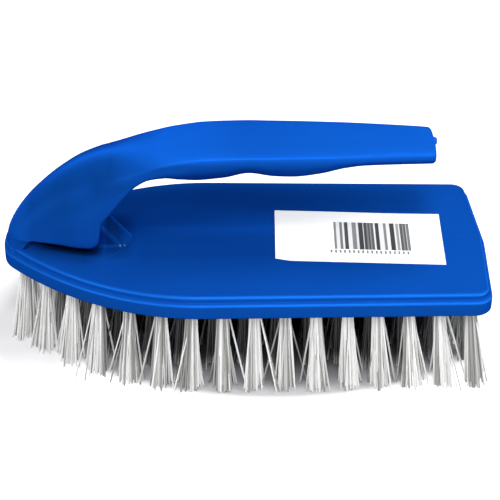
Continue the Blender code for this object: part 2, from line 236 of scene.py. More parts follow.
def insert_arc(from_nose, y, z):
    """Line that the mould's insert left on the panel, an arc round the hood on the near side."""
    off = abs(apart(from_nose - INSERT_MIDDLE, y) - INSERT_RADIUS)
    on_panel = abs(z - PANEL_Z) < 0.2
    return falling(off, 0.0, MOULD_LINE) * (from_nose > 34.5) * (y < -6.0) * on_panel


def handle_painted_light(from_nose, y, z):
    """Painted light and shade on the handle, as a scale of its colour: its crown lighter, the
    hood's by one over one plus the square of the way aside, the grip's down to a level.  The
    hood's sides stay deeper, but for their lower part, and so does the grip's underside at the
    bend."""
    aside = y / (falling(from_nose, 10.0, 20.0) * 2.6 + 3.4 + larger(from_nose - 38.0, 0.0) * 0.65)
    above = larger(rising(z, 64.0, 67.0), falling(from_nose, 31.0, 34.0))
    crown = above * (1.0 / (1.0 + aside * aside))
    low = falling(z - from_nose * 0.57, 37.3, 44.3) * (from_nose * 0.0065 + 0.12)
    hood = crown * (rising(from_nose, 12.0, 26.0) * 0.6 + 0.65) + low + 0.53
    hood = hood + falling(from_nose, 8.0, 11.0) * 0.2
    level = rising(z + falling(from_nose, 46.0, 60.0) * 1.8, 71.3, 73.1)
    grip = level * (falling(from_nose, 52.0, 82.0) * 0.5 + 0.30) + 1.0
    grip = grip - (1.0 - level) * falling(from_nose, 46.0, 56.0) * 0.35
    return hood + rising(from_nose, 44.0, 54.0) * (grip - hood)


def panel_painted_shadow(from_nose, y, z):
    """Painted shadow of the grip on the middle of the panel, as how much deeper the blue is: a
    broad band on the near side of the middle and a fainter one on the far side, behind the bend."""
    near = rising(y, -30.0, -12.0) * falling(y, 0.0, 5.0) * 0.29
    far = rising(y, 12.0, 17.0) * falling(y, 22.0, 34.0) * rising(from_nose, 60.0, 85.0) * 0.18
    ends = rising(from_nose, 36.0, 48.0) * falling(from_nose, 134.0, 146.0)
    return (near + far) * ends * (z < PANEL_Z + 0.3)


def blue_polypropylene():
    """Satin moulded polypropylene: a soft mottle from the melt, fine scuffs that lie along the
    brush, and the line where the mould's halves meet (y = 0).  Painted highlights on the edges,
    painted shade in the slot with a painted highlight on the web's prow, the insert's arc and
    painted glints round the handle's foot are laid over it one by one, and the colour is scaled
    by painted light and shade: lighter on the handle's crown and deeper on its sides, and one on
    the block but for the painted shadow on the panel's middle."""
    finish, tones, shader = new_finish("blue_polypropylene", Metallic=0.15,
                                       Specular_IOR_Level=0.0, Specular_Tint=(*BLUE_SHEEN, 1))
    point, (x, y, z) = place_of(tones)
    from_nose = x - NOSE_X
    cloud = noise(point, 34.0, 3.0)
    scuff = drawn_noise(point, (70.0, 1100.0, 800.0))
    peel = noise(point, 420.0)
    grain = noise(point, 2600.0)
    parting = falling(abs(y), 0.0, MOULD_LINE)
    colour = blend(cloud * 0.9 + parting * 0.8 + scuff * 0.5 - 0.45, BLUE, BLUE_PALE)
    # Painted highlights on the rounded edges of the panel and the rim
    colour = blend(painted_edge_highlights(from_nose, z) * (cloud * 0.5 + 0.75), colour, BLUE_HIGHLIGHT_AND_LINE)
    # Painted shade in the slot under the hood, and a painted highlight on the web's prow
    slot_shade, prow_highlight = slot_shade_and_highlight(from_nose, y, z)
    colour = blend(slot_shade, colour, BLUE_SLOT_SHADE)
    colour = blend(prow_highlight * 0.12, colour, BLUE_HIGHLIGHT_AND_LINE)
    colour = blend(insert_arc(from_nose, y, z) * 0.35, colour, BLUE_HIGHLIGHT_AND_LINE)
    # Painted glints on the fillet at the foot of the web
    for place, side in GLINTS:
        glint = falling(apart(from_nose - place, y - side), 0.12, 0.52)
        colour = blend(glint * (z < PANEL_Z + 1.5) * 0.6, colour, BLUE_GLINT)
    on_handle = rising(z, 40.5, 42.5) * (1.0 - (from_nose > 36.5) * (z < 50.0))
    # Painted light and shade as a scale of the colour: lighter on the handle's crown, deeper on its
    # sides, and the grip's painted shadow on the panel's middle
    strength = on_handle * (handle_painted_light(from_nose, y, z) - 1.0) + 1.0
    colour = colour.node("ShaderNodeVectorMath", {"operation": "SCALE"}, {
        0: colour, "Scale": strength - panel_painted_shadow(from_nose, y, z)})
    feed(shader, "Base Color", colour)
    feed(shader, "Roughness", 0.31 + cloud * 0.06 + scuff * 0.07 + grain * 0.03)
    height = cloud * 1.2 + peel * 0.10 + scuff * 0.05 + grain * 0.02 + parting * 0.35
    feed_bump(shader, height, 0.5, 0.3)
    return finish


def unit(vectors):
    """Each vector over its own length."""
    return vectors / np.linalg.norm(vectors, axis=-1, keepdims=True)


def rounded(corners, radii, steps):
    """Polyline with an arc at each corner.  The arc's centre lies on the bisector, radius over the
    sine of half the corner away, and the spoke to the arc turns evenly from one side's foot to
    the other's."""
    corners, radii = np.array(corners, float), np.array(radii, float)[:, None]
    back = unit(np.roll(corners, 1, 0) - corners)
    ahead = unit(np.roll(corners, -1, 0) - corners)
    half = np.arccos(np.clip((back * ahead).sum(1, keepdims=True), -1, 1)) / 2
    centre = corners + unit(back + ahead) * radii / np.sin(half)
    first = corners + back * radii / np.tan(half) - centre
    last = corners + ahead * radii / np.tan(half) - centre
    share = np.linspace(0, 1, steps)[None, :, None]
    turn = (math.pi - 2 * half)[:, None]
    spokes = np.sin((1 - share) * turn) * first[:, None] + np.sin(share * turn) * last[:, None]
    return (centre[:, None] + spokes / np.sin(turn)).reshape(-1, 2)


def block_outline():
    """Left half of the block seen from above, nose to heel, with its outward normals.

    A round nose, a cubic bow, a side that tapers straight to a round corner, and a heel that
    slopes out to its middle by the draft of the mould's halves."""
    angles = np.linspace(math.pi, math.pi / 2 + NOSE_FLARE, NOSE_STEPS)
    nose_normals = np.stack([np.cos(angles), np.sin(angles)], 1)
    nose = (NOSE_X + NOSE_RADIUS, 0) + NOSE_RADIUS * nose_normals

    taper = math.atan2((BLOCK_WIDTH - HEEL_WIDTH) / 2, BLOCK_LENGTH - WIDEST_FROM_NOSE)
    side_normal = np.array([math.sin(taper), math.cos(taper)])
    side_way = np.array([math.cos(taper), -math.sin(taper)])
    flare_way = np.array([math.cos(NOSE_FLARE), math.sin(NOSE_FLARE)])
    widest = np.array([NOSE_X + WIDEST_FROM_NOSE, BLOCK_WIDTH / 2])
    t = np.linspace(0, 1, BOW_STEPS)[1:, None]
    pulls = (nose[-1], nose[-1] + BOW_REACH * flare_way, widest - SHOULDER_REACH * side_way, widest)
    bow = ((1 - t) ** 3 * pulls[0] + 3 * (1 - t) ** 2 * t * pulls[1]
           + 3 * (1 - t) * t ** 2 * pulls[2] + t ** 3 * pulls[3])
    ways = unit((1 - t) ** 2 * (pulls[1] - pulls[0]) + 2 * (1 - t) * t * (pulls[2] - pulls[1])
                + t ** 2 * (pulls[3] - pulls[2]))
    bow_normals = np.stack([-ways[:, 1], ways[:, 0]], 1)

    heel_normal = np.array([math.cos(MOULD_DRAFT), math.sin(MOULD_DRAFT)])
    heel_peak = np.array([HEEL_X, 0.0])
    reaches = np.array([side_normal @ widest, heel_normal @ heel_peak]) - HEEL_CORNER_RADIUS
    centre = np.linalg.solve(np.array([side_normal, heel_normal]), reaches)
    angles = np.linspace(math.pi / 2 - taper, MOULD_DRAFT, CORNER_STEPS)
    corner_normals = np.stack([np.cos(angles), np.sin(angles)], 1)
    corner = centre + HEEL_CORNER_RADIUS * corner_normals
    side = widest + (corner[0] - widest) * np.linspace(0, 1, SIDE_STEPS)[1:-1, None]
    heel = corner[-1] + (heel_peak - corner[-1]) * np.linspace(0, 1, HEEL_STEPS)[1:, None]
    normals = np.vstack([nose_normals, bow_normals, np.tile(side_normal, (len(side), 1)),
                         corner_normals, np.tile(heel_normal, (len(heel), 1))])
    normals[-1] = (1 / math.cos(MOULD_DRAFT), 0)
    return np.vstack([nose, bow, side, corner, heel]), normals


def carried_round(outline, normals, profile):
    """The profile's points (inset, height) carried round both halves of the outline."""
    line = np.vstack([outline, outline[-2::-1] * (1, -1)])
    away = np.vstack([normals, normals[-2::-1] * (1, -1)])
    flat = line[None] - profile[:, None, :1] * away[None]
    return np.dstack([flat, np.broadcast_to(profile[:, None, 1], flat.shape[:2])])


def lid(outline, normals, inset, height):
    """Level face between the two halves of the outline, closely spaced at its edge."""
    edge = outline - inset * normals
    close = np.array([0, 0.004, 0.012])
    across = np.concatenate([close - 1, np.linspace(-0.97, 0.97, 15), 1 - close[::-1]])
    x = np.repeat(edge[:, :1], len(across), 1)
    return np.dstack([x, edge[:, 1:] * across, np.full(x.shape, height)])


def grid_faces(index):
    """A face to each four neighbours of a grid of point numbers."""
    corners = [index[:-1, :-1], index[:-1, 1:], index[1:, 1:], index[1:, :-1]]
    return np.stack(corners, -1).reshape(-1, 4)


def show(name, mesh, finish, replaced, sharp):
    """Put a mesh in the scene as a piece of the brush, smooth but for edges past an angle."""
    mesh.polygons.foreach_set("use_smooth", np.ones(len(mesh.polygons), bool))
    mesh.set_sharp_from_angle(angle=sharp * DEGREE)
    mesh.materials.append(finish)
    piece = bpy.data.objects.new(name, mesh)
    bpy.context.scene.collection.objects.link(piece)
    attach(piece, "root")
    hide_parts(*replaced)


def moulded(name, grids, sharp=32):
    """One closed shell of the blue moulding, from grids of points.  Doubles are merged, which
    closes the seams and poles, and the faces turned outwards."""
    points, faces, count = [], [], 0
    for grid in grids:
        rows, columns = grid.shape[:2]
        faces.append(grid_faces(count + np.arange(rows * columns).reshape(rows, columns)))
        points.append(grid.reshape(-1, 3) * MM)
        count += rows * columns
    mesh = bpy.data.meshes.new(name)
    mesh.from_pydata(np.vstack(points), [], np.vstack(faces).tolist())
    builder = bmesh.new()
    builder.from_mesh(mesh)
    bmesh.ops.remove_doubles(builder, verts=builder.verts, dist=0.002 * MM)
    bmesh.ops.dissolve_degenerate(builder, edges=builder.edges, dist=0.0001 * MM)
    bmesh.ops.recalc_face_normals(builder, faces=builder.faces)
    builder.to_mesh(mesh)
    builder.free()
    show(name, mesh, plastic, ["body"], sharp)


# The profile's first and last corners only give the arcs next to them their direction
far_in = BLOCK_WIDTH / 2
block_profile = rounded(
    [(far_in, UNDER_Z), (0, UNDER_Z), (0, RIM_Z), (PANEL_STEP_WIDTH, RIM_Z),
     (PANEL_STEP_WIDTH, PANEL_Z), (far_in, PANEL_Z)],
    [0, UNDER_EDGE_RADIUS, RIM_EDGE_RADIUS, PANEL_STEP_RADIUS, PANEL_EDGE_RADIUS, 0], ARC_STEPS)
block_profile = block_profile[ARC_STEPS:-ARC_STEPS]
outline, outline_normals = block_outline()
plastic = blue_polypropylene()
moulded("block", [carried_round(outline, outline_normals, block_profile),
                  lid(outline, outline_normals, block_profile[-1, 0], PANEL_Z),
                  lid(outline, outline_normals, block_profile[0, 0], UNDER_Z)])

# ---------------------------------------------------------------------------------------------
# Handle
# The bar of the same moulding: it springs from the nose as a broad hood, arches back over the
# block with waves for the fingers underneath, and ends free.
# ---------------------------------------------------------------------------------------------
HANDLE_LENGTH = 142.6
GRIP_TOP = 38.0
GRIP_WIDTH = 27.1
GRIP_DEPTH = 13.3
FOOT_LENGTH = 34.0
FOOT_WIDTH = 29.0
FOOT_SINK = 2.7
NOSE_TIP_SINK = 2.4
SLOT_HEIGHT = 3.8
SLOT_START = 4.9
SLOT_EASE = 6.0
HOOD_CORNER = 3.8
END_X = HANDLE_LENGTH + 0.5
END_EDGE_RADIUS = 1.0

# Powers of the sections' halves: two is an ellipse, and more of it a squarer one
CROWN_POWER = 2.4
FOOT_UNDER_POWER = 16.0
GRIP_UNDER_POWER = 2.3
# What the crown's power gains along the bend, and what the underside's loses
CROWN_SQUARING = 1.8
UNDER_ROUNDING = 6.85

# The foot's flare out to the block's nose: how far within it, up to where in full, and how far
# it takes to end
FLARE_INSET = 0.12
FLARE_FULL = 2.4
FLARE_RUN = 2.6

# Place, crown, width and widest depth, as shares
NOSE_STATIONS = (
    (0.003, -0.052, 0.05, 0.5), (0.010, -0.026, 0.085, 0.5), (0.023, 0.010, 0.115, 0.55))
FOOT_STATIONS = (
    (0.044, 0.055, 0.140, 0.60), (0.060, 0.110, 0.245, 0.66), (0.090, 0.170, 0.370, 0.70),
    (0.135, 0.240, 0.490, 0.74), (0.194, 0.317, 0.580, 0.78), (0.353, 0.480, 0.690, 0.79),
    (0.588, 0.662, 0.845, 0.74), (0.794, 0.775, 1.010, 0.66), (0.955, 0.834, 1.055, 0.58),
    (0.992, 0.846, 1.050, 0.55))
# Place, crown, width, depth and widest depth, as shares
BAR_STATIONS = (
    (0.004, 0.850, 1.110, 1.510, 0.72), (0.038, 0.869, 1.075, 1.220, 0.68),
    (0.075, 0.886, 1.045, 0.895, 0.62), (0.112, 0.896, 1.025, 0.600, 0.52),
    (0.150, 0.910, 1.010, 0.480, 0.40), (0.198, 0.940, 0.995, 0.565, 0.27),
    (0.240, 0.962, 0.992, 0.750, 0.21), (0.300, 0.984, 1.000, 0.940, 0.18),
    (0.370, 0.995, 1.003, 0.897, 0.20), (0.445, 1.000, 1.000, 0.750, 0.24),
    (0.520, 0.998, 0.985, 0.865, 0.21), (0.575, 0.997, 0.970, 0.890, 0.20),
    (0.655, 0.995, 0.945, 0.790, 0.23), (0.730, 0.993, 0.910, 0.590, 0.30),
    (0.790, 0.991, 0.870, 0.510, 0.34), (0.900, 0.985, 0.790, 0.495, 0.34),
    (0.985, 0.977, 0.725, 0.480, 0.34), (1.000, 0.972, 0.690, 0.445, 0.36))
FIRST_WAVE = BAR_STATIONS[7][0]
STATION_STEPS = 7


def eased_rows(rows, steps):
    """Rows filled in on a cubic that never overshoots: each slope is the harmonic mean of its
    neighbours', or level where they differ in sign."""
    rows = np.array(rows)
    gaps = np.diff(rows[:, :1], axis=0)
    slopes = np.diff(rows, axis=0) / gaps
    before, after = slopes[:-1], slopes[1:]
    agree = before * after > 0
    mean = np.where(agree, 2 * before * after / np.where(agree, before + after, 1), 0)
    slopes = np.vstack([slopes[:1], mean, slopes[-1:]])[:, None]
    t = (np.arange(steps) / steps)[None, :, None]
    gaps = gaps[:, None]
    filled = ((2 * t ** 3 - 3 * t ** 2 + 1) * rows[:-1, None]
              + (t ** 3 - 2 * t ** 2 + t) * gaps * slopes[:-1]
              + (3 * t ** 2 - 2 * t ** 3) * rows[1:, None]
              + (t ** 3 - t ** 2) * gaps * slopes[1:])
    return np.vstack([filled.reshape(-1, rows.shape[1]), rows[-1:]])


def foot_stations():
    """Columns for each section of the foot: x, crown, half width, underside, widest level, the
    powers of the upper and lower half, and the flare.

    The underside eases up from below the panel to the slot's height, and at the hood's rear it
    rises on a quarter circle.  The flare fills the foot out to the round of the block's nose."""
    place, crown, width, widest = eased_rows(NOSE_STATIONS + FOOT_STATIONS, STATION_STEPS).T
    x, top, half = place * FOOT_LENGTH, crown * GRIP_TOP, width * FOOT_WIDTH / 2
    front = np.clip((x - SLOT_START) / SLOT_EASE, 0, 1)
    front = front * front * (3 - 2 * front)
    into = np.clip(x - (FOOT_STATIONS[-1][0] * FOOT_LENGTH - HOOD_CORNER), 0, HOOD_CORNER)
    lift = HOOD_CORNER - np.sqrt(HOOD_CORNER ** 2 - into ** 2)
    under = -FOOT_SINK + front * (SLOT_HEIGHT + lift + FOOT_SINK)
    level = np.where(top > 0, top - widest * (top - front * SLOT_HEIGHT), top - 0.2)
    nose = np.sqrt(np.clip(NOSE_RADIUS ** 2 - (NOSE_RADIUS - x) ** 2, 0, None))
    fading = np.clip((x - FLARE_FULL) / FLARE_RUN, 0, 1) ** 2
    flare = np.clip(nose - FLARE_INSET - half, 0, None) * (1 - fading)
    return np.stack([x, top, half, under, level, np.full(x.shape, CROWN_POWER),
                     np.full(x.shape, FOOT_UNDER_POWER), flare], 1)


def bar_stations():
    """The same columns for the bar.  Up to the first wave its crown grows squarer by the square
    of the share of the way, and its underside stays squarer by the square of what that leaves
    of one."""
    place, crown, width, depth, widest = eased_rows(BAR_STATIONS, STATION_STEPS).T
    x, top = FOOT_LENGTH + place * (END_X - FOOT_LENGTH), crown * GRIP_TOP
    under = top - depth * GRIP_DEPTH
    share = np.minimum(1, place / FIRST_WAVE) ** 2
    return np.stack([x, top, width * GRIP_WIDTH / 2, under, top - widest * (top - under),
                     CROWN_POWER + share * CROWN_SQUARING,
                     GRIP_UNDER_POWER + (1 - share) ** 2 * UNDER_ROUNDING, np.zeros(x.shape)], 1)


def rounded_end(last, radius, draft):
    """Sections that close an end: they go on by the radius times the sine of a turning angle and
    shrink by the radius times one less its cosine, and then draw together on the end's face.
    One more column says how far the face sinks back by its draft."""
    turn = np.linspace(0, math.pi / 2, ARC_STEPS)
    shrink = radius * (1 - np.cos(turn))
    rows = np.tile(last, (len(turn), 1))
    rows[:, 0] = last[0] + radius * (np.sin(turn) - 1)
    rows[:, 1] -= shrink
    rows[:, 2] -= shrink
    rows[:, 3] += shrink
    inner = np.array([0.97, 0.9, 0.7, 0.45, 0.2, 0.0])[:, None]
    face = np.repeat(rows[-1:], len(inner), 0)
    middle = np.zeros(len(last))
    middle[[1, 3, 4]] = (rows[-1, 1] + rows[-1, 3]) / 2
    face[:, 1:5] = middle[1:5] + (rows[-1, 1:5] - middle[1:5]) * inner
    sink = np.concatenate([np.sin(turn), np.ones(len(inner))]) * draft
    return np.hstack([np.vstack([rows, face]), sink[:, None]])


def sections(stations, points=96):
    """Closed section at each station: two half superellipses that meet at the widest level.  The
    lower one flares out by the square of its rise, and the ends' face sinks back to its sides."""
    angles = np.linspace(0, 2 * math.pi, points + 1)
    cosine, sine = np.cos(angles)[None], np.sin(angles)[None]
    cosine, sine = np.where(abs(cosine) < 1e-9, 0, cosine), np.where(abs(sine) < 1e-9, 0, sine)
    x, top, half, under, level, crown_power, under_power, flare, sink = stations.T[:, :, None]
    power = np.where(sine >= 0, crown_power, under_power)
    half = np.maximum(half, 1e-6)
    y = half * np.sign(cosine) * np.abs(cosine) ** (2 / power)
    rise = np.abs(sine) ** (2 / power)
    z = np.where(sine >= 0, level + (top - level) * rise, level - (level - under) * rise)
    y = y * (1 + np.where(sine < 0, flare / half * rise ** 2, 0))
    return np.dstack([NOSE_X + x - sink * abs(y), y, PANEL_Z + z])


stations = np.vstack([foot_stations(), bar_stations()])
plain = np.hstack([stations, np.zeros((len(stations), 1))])
nose_tip = plain[:1] * (1, 1, 0, 1, 1, 1, 1, 0, 0)
nose_tip[:, (1, 3, 4)] = -NOSE_TIP_SINK
before_end = plain[plain[:, 0] < END_X - END_EDGE_RADIUS - 0.1]
free_end = rounded_end(stations[-1], END_EDGE_RADIUS, math.tan(MOULD_DRAFT))
moulded("handle", [sections(np.vstack([nose_tip, before_end, free_end]))])

# ---------------------------------------------------------------------------------------------
# Gate's nub
# The stub of polypropylene that is left on the handle's free end where the melt came into the
# mould: a low disc with a rounded rim and a dimple, where it was twisted off.
# ---------------------------------------------------------------------------------------------
NUB_MIDDLE = (NOSE_X + HANDLE_LENGTH, 1.3, PANEL_Z + 35.5)
NUB_STEPS = 28
# Distance out and radius
NUB_PROFILE = ((-0.8, 0), (-0.8, 1.3), (0.45, 1.3), (0.8, 1.24), (1.05, 1.08), (1.2, 0.82),
               (1.17, 0.45), (1.06, 0.3), (1.03, 0.0))


def turned(profile, middle, steps):
    """A profile of (distance along +X, radius) turned round a line through the middle point."""
    angles = np.linspace(0, 2 * math.pi, steps + 1)[None]
    along, radius = np.array(profile)[:, :1], np.array(profile)[:, 1:]
    return np.dstack([middle[0] + along + 0 * angles, middle[1] + radius * np.cos(angles),
                      middle[2] + radius * np.sin(angles)])


moulded("gate_nub", [turned(NUB_PROFILE, NUB_MIDDLE, NUB_STEPS)], 50)

# ---------------------------------------------------------------------------------------------
# Web under the hood
# An upright block of the same moulding that joins the hood to the panel, with sloping ends, a
# prow at its rear and a small fillet round its foot.
# ---------------------------------------------------------------------------------------------
WEB_HALF = 6.7
WEB_FRONT = NOSE_X + 4.7
WEB_REAR = WEB_FRONT + 39.2
WEB_PROW = 3.8
WEB_HEIGHT = 12.0
WEB_FILLET = 1.1
WEB_SINK = 0.4
WEB_FRONT_SLOPE = 60 * DEGREE
WEB_REAR_SLOPE = 50 * DEGREE
WEB_CORNER_RADII = (1.0, 1.0, 3.4, 5.0, 3.4)


def web_rings():
    """The plan, five corners with small arcs, at each height: its ends lean in as they rise, and
    it flares out at the bottom by a quarter circle."""
    turn = np.linspace(0, math.pi / 2, 7)
    flares = np.concatenate([[WEB_FILLET], WEB_FILLET * (1 - np.sin(turn)), np.zeros(5)])
    rises = np.concatenate([[-WEB_SINK], WEB_FILLET * (1 - np.cos(turn)),
                            np.linspace(WEB_FILLET + 0.3, WEB_HEIGHT, 5)])
    rings = []
    for flare, rise in zip(flares, rises):
        front = WEB_FRONT + rise / math.tan(WEB_FRONT_SLOPE) - flare
        rear = WEB_REAR - rise / math.tan(WEB_REAR_SLOPE) + flare
        half = WEB_HALF + flare
        plan = rounded([(front, half), (front, -half), (rear - WEB_PROW, -half), (rear, 0),
                        (rear - WEB_PROW, half)], np.array(WEB_CORNER_RADII) + flare * 0.6,
                       ARC_STEPS)
        plan = np.vstack([plan, plan[:1]])
        rings.append(np.column_stack([plan, np.full(len(plan), PANEL_Z + rise)]))
    rings = np.array(rings)
    middle = rings[-1].mean(0) * np.ones_like(rings[-1])
    under = rings[0].mean(0) * np.ones_like(rings[0])
    return np.concatenate([under[None], rings, middle[None]])


moulded("web", [web_rings()])

# ---------------------------------------------------------------------------------------------
# Tufts
# Bundles of nearly fifty stiff nylon filaments, doubled over a staple and driven into blind
# holes in the underside.  They splay as they leave it, and are sheared to one level.
# ---------------------------------------------------------------------------------------------
FILAMENTS = 46
FILAMENT_RADII = (0.25, 0.33)
FILAMENT_SIDES = 5
FILAMENT_RINGS = 7
GOLDEN_TURN = 2.39996
ROOT_SPREAD = 1.60
ROOT_Z = UNDER_Z + 1.5
TIP_SPREAD = 3.0
TIP_LIFT = 0.6
TIP_LIMIT = np.array([80.6, 38.1])
# How far the tips of tufts at the block's end and at its side would lean out
TIP_LEAN = (3.7, 2.5)
BENDS = (0.98, 1.12)
STRAY_SHARE = 0.28
STRAY_SPREAD = 2.8
STEADY_SPREAD = 0.42
# What the sheared ends carry as their share of the length, past the sides' one
CUT_SHARE = 1.1
BRISTLE_WHITE = (0.98, 0.98, 0.975)
BRISTLE_GREY = (0.27, 0.275, 0.26)
# Painted shade on the sheared ends
BRISTLE_END_SHADE = (0.20, 0.205, 0.19)
# Near-black for the painted shade on the inner rows
INNER_ROW_SHADE = (0.010, 0.010, 0.012)
BLACK = (0, 0, 0)


def shares_of(tones, layer):
    """The two shares that a piece's own map gives at each point."""
    own = tones.node("ShaderNodeUVMap", {"uv_map": layer})
    return [own.node("ShaderNodeSeparateXYZ", (), {0: own}, give) for give in range(2)]


def bristle_nylon():
    """Off-white nylon: greyer and a little green from one filament to the next by the square of
    its shade, lighter towards the nose by painted light, finely drawn along its length and with
    painted shade on the sheared end.  The rows inside, whose shade is over one, carry painted
    shade in the brush's middle, all but their tips.  The outer rows glow faintly with their own
    colour, a painted light."""
    finish, tones, shader = new_finish("bristle_filament", Specular_IOR_Level=1.0,
                                       Emission_Strength=0.13)
    shade, along = shares_of(tones, "filament")
    inner = shade > 1.0
    shade = shade - inner
    point, (x, _, _) = place_of(tones)
    fleck = noise(point, 700.0)
    streak = drawn_noise(point, (5200.0, 5200.0, 160.0))
    grey = shade * shade * 1.8 + fleck * 0.06 + streak * 0.2 - 0.28
    # Painted light: the filaments lighter towards the nose
    colour = blend(grey - falling(x, -65.0, -35.0) * 0.15, BRISTLE_WHITE, BRISTLE_GREY)
    # Painted shade on the inner rows in the brush's middle, all but their tips
    painted_shade = clipped((1.06 - along) * 4.5) * falling(abs(x - 4.0), 56.0, 68.0)
    colour = blend(inner * painted_shade * 0.95, colour, INNER_ROW_SHADE)
    # Painted shade on the sheared ends
    colour = blend((along > 1.01) * 0.75, colour, BRISTLE_END_SHADE)
    feed(shader, "Base Color", colour)
    # Painted light: the outer rows glow with their own colour
    feed(shader, "Emission Color", blend(inner, colour, BLACK))
    feed(shader, "Roughness", 0.36 + streak * 0.14 + fleck * 0.06)
    feed_bump(shader, streak * 0.5 + fleck * 0.2, 0.3, 0.06)
    return finish


def roots_of(names):
    """Middles of the tufts in these CAD nodes, in millimetres, from the top face of each node's
    root: a round plug has one, and a slice across the brush has one near each end."""
    roots = []
    for name in names:
        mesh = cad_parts[name].data
        points = np.empty(len(mesh.vertices) * 3)
        mesh.vertices.foreach_get("co", points)
        points = points.reshape(-1, 3) / MM
        top = points[points[:, 2] > points[:, 2].max() - 0.05]
        low, high = top[:, :2].min(0), top[:, :2].max(0)
        middle, reach = (low + high) / 2, (high[1] - low[1] - high[0] + low[0]) / 2
        roots.extend([middle - (0, reach), middle + (0, reach)] if reach > 1 else [middle])
    return np.array(roots)


def tuft_bundle(roots, tips, chance, inner):
    """Filaments of many tufts, as tubes.  In a tuft the filaments stand on a sunflower spiral,
    radius by the square root of their number and angle by the golden turn.  Each goes from its
    place at the root to a wider one at the floor, the share of the way across growing as a power
    of the share of the way down, and about one in four strays."""
    count = (len(roots), FILAMENTS)
    number = np.arange(FILAMENTS) + 0.5
    angle = number * GOLDEN_TURN + chance.uniform(0, 2 * math.pi, (len(roots), 1))
    radius = np.sqrt(number / FILAMENTS) + chance.normal(0, 0.05, count)
    outwards = radius[..., None] * np.dstack([np.cos(angle), np.sin(angle)])
    start = roots[:, None] + ROOT_SPREAD * outwards
    stray = chance.random((*count, 1)) < STRAY_SHARE
    loose = chance.normal(0, 1, (*count, 2)) * np.where(stray, STRAY_SPREAD, STEADY_SPREAD)
    end = np.clip(tips[:, None] + TIP_SPREAD * outwards + loose, -TIP_LIMIT, TIP_LIMIT)
    thick = chance.uniform(*FILAMENT_RADII, count)
    bend = chance.uniform(*BENDS, (*count, 1, 1))
    down = np.linspace(0, 1, FILAMENT_RINGS)[None, None, :, None]
    path = start[:, :, None] + (end - start)[:, :, None] * down ** bend
    tip_z = np.abs(chance.normal(0, TIP_LIFT, (*count, 1, 1)))
    height = ROOT_Z + (tip_z - ROOT_Z) * down
    spin = np.linspace(0, 2 * math.pi, FILAMENT_SIDES, endpoint=False)
    ring = np.stack([np.cos(spin), np.sin(spin)], 1) * thick[:, :, None, None, None]
    flat = path[:, :, :, None] + ring
    upright = np.broadcast_to(height[:, :, :, None], (*flat.shape[:4], 1))
    points = np.concatenate([flat, upright], -1).reshape(-1, 3) * MM
    total, around = len(roots) * FILAMENTS, FILAMENT_RINGS * FILAMENT_SIDES
    index = np.arange(total * around).reshape(total, FILAMENT_RINGS, FILAMENT_SIDES)
    after = np.roll(index, -1, 2)
    sides = np.stack([index[:, :-1], index[:, 1:], after[:, 1:], after[:, :-1]], -1).reshape(-1, 4)
    ends = np.vstack([index[:, -1, ::-1], index[:, 0]])
    shade = np.repeat(chance.random(total) * 0.99 + inner, around)
    share = np.tile(np.repeat(np.linspace(0, 1, FILAMENT_RINGS), FILAMENT_SIDES), total)
    return points, sides, ends, np.stack([shade, share], 1)


def corner_shares(mesh, shares):
    """The two shares of each face's corners, from those of the points."""
    corners = np.empty(len(mesh.loops), int)
    mesh.loops.foreach_get("vertex_index", corners)
    return shares[corners]


def add_map(mesh, layer, shares):
    """Write the corners' shares into the mesh as a map."""
    mesh.uv_layers.new(name=layer).data.foreach_set("uv", shares.ravel())


def tuft_row(name, roots, replaced, seed, inner):
    """One row's tufts as a piece, their tips leaning out in proportion to their place."""
    tips = roots * (1 + TIP_LEAN[0] / HEEL_X, 1 + TIP_LEAN[1] * 2 / BLOCK_WIDTH)
    points, sides, ends, shares = tuft_bundle(roots, tips, np.random.default_rng(seed), inner)
    mesh = bpy.data.meshes.new(name)
    mesh.from_pydata(points, [], sides.tolist() + ends.tolist())
    shares = corner_shares(mesh, shares)
    shares[sides.size:, 1] = np.where(np.arange(ends.size) < ends.size // 2, CUT_SHARE, 0.0)
    add_map(mesh, "filament", shares)
    show(name, mesh, nylon, replaced, 50)


nylon = bristle_nylon()
tuft_names = [f"tuft_{number:02d}" for number in range(1, 59)]
rows = {"tufts_far": tuft_names[0:32:2], "tufts_near": tuft_names[1:32:2],
        "tufts_inner": tuft_names[32:]}
for seed, (row, names) in enumerate(rows.items(), 3):
    tuft_row(row, roots_of(names), names, seed, row == "tufts_inner")

# ---------------------------------------------------------------------------------------------
# Label
# A slip of white coated paper laid on the panel a little askew, printed in black with a strip of
# bars and a row of ticks.
# ---------------------------------------------------------------------------------------------
LABEL_LENGTH = 56.5
LABEL_WIDTH = 32.0
LABEL_THICKNESS = 0.16
LABEL_MIDDLE = (HEEL_X - 42.85, -0.9)
LABEL_TOP_Z = PANEL_Z + 0.2
LABEL_TURN = -2.6 * DEGREE
LABEL_COLUMNS, LABEL_ROWS = 49, 29
# How far each corner is cut off square: near and far ones at the nose's end, then the heel's
LABEL_CORNERS = ((0.68, 0.35), (-0.44, -0.18), (0.07, 0.0), (-0.30, -0.75))
# How far the near edge turns in at the nose's end, and over what share of the length
EDGE_TURN, EDGE_TURN_SHARE = 1.1, 0.09
# Heights of the corner that comes loose and of the waves, and the most that they come to
CORNER_LIFT, WAVE_LIFT, MOST_LIFT = 0.8, 0.06, 0.28
PAPER = (0.93, 0.94, 0.94)
PAPER_FIBRE = (0.90, 0.91, 0.91)
INK = (0.012, 0.012, 0.015)

# Where the print lies, as shares of the sheet's length and width
STRIP_START, STRIP_LENGTH = 0.354, 0.454
STRIP_LOW, STRIP_HIGH = 0.245, 0.79
TICKS_LOW, TICKS_HIGH = 0.17, 0.23
TICKS = 17.0
